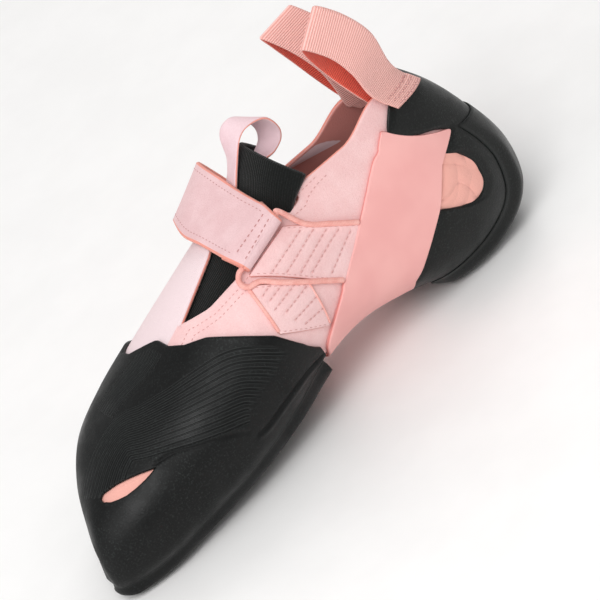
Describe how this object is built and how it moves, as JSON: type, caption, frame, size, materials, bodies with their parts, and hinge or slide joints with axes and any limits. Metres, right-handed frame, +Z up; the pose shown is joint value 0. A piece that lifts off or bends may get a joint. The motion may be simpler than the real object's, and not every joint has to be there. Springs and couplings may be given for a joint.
{
  "type": "climbing shoe",
  "caption": "Right climbing shoe in pale pink microfibre with black rubber at toe and heel, a single closing strap, a black knit tongue and two heel pull loops",
  "frame": {"origin": "Middle of the bounding box at its bottom, on the floor that the sole stands on", "axes": "+X from toe to heel, +Y from the inner side to the outer side of the foot, +Z up"},
  "size_m": [0.2354, 0.0892, 0.1384],
  "materials": {
    "black_rubber": "satin",
    "salmon_rubber": "satin",
    "pale_microfibre": "matte",
    "insole_felt": "matte",
    "black_knit": "matte",
    "salmon_piping": "matte",
    "coral_webbing": "matte"
  },
  "bodies": {
    "root": {"upper": "pale_microfibre", "toe_cap": "black_rubber", "outsole": "black_rubber", "heel_outsole": "black_rubber", "heel_cup": "black_rubber", "sling": "salmon_rubber", "side_panel_upper": "pale_microfibre", "side_panel_lower": "pale_microfibre", "insole": "insole_felt", "tongue": "black_knit", "strap": "pale_microfibre", "tension_cord": "salmon_piping", "tongue_pull_loop": "pale_microfibre", "heel_loop_inner": "coral_webbing", "heel_loop_outer": "coral_webbing"}
  },
  "joints": []
}
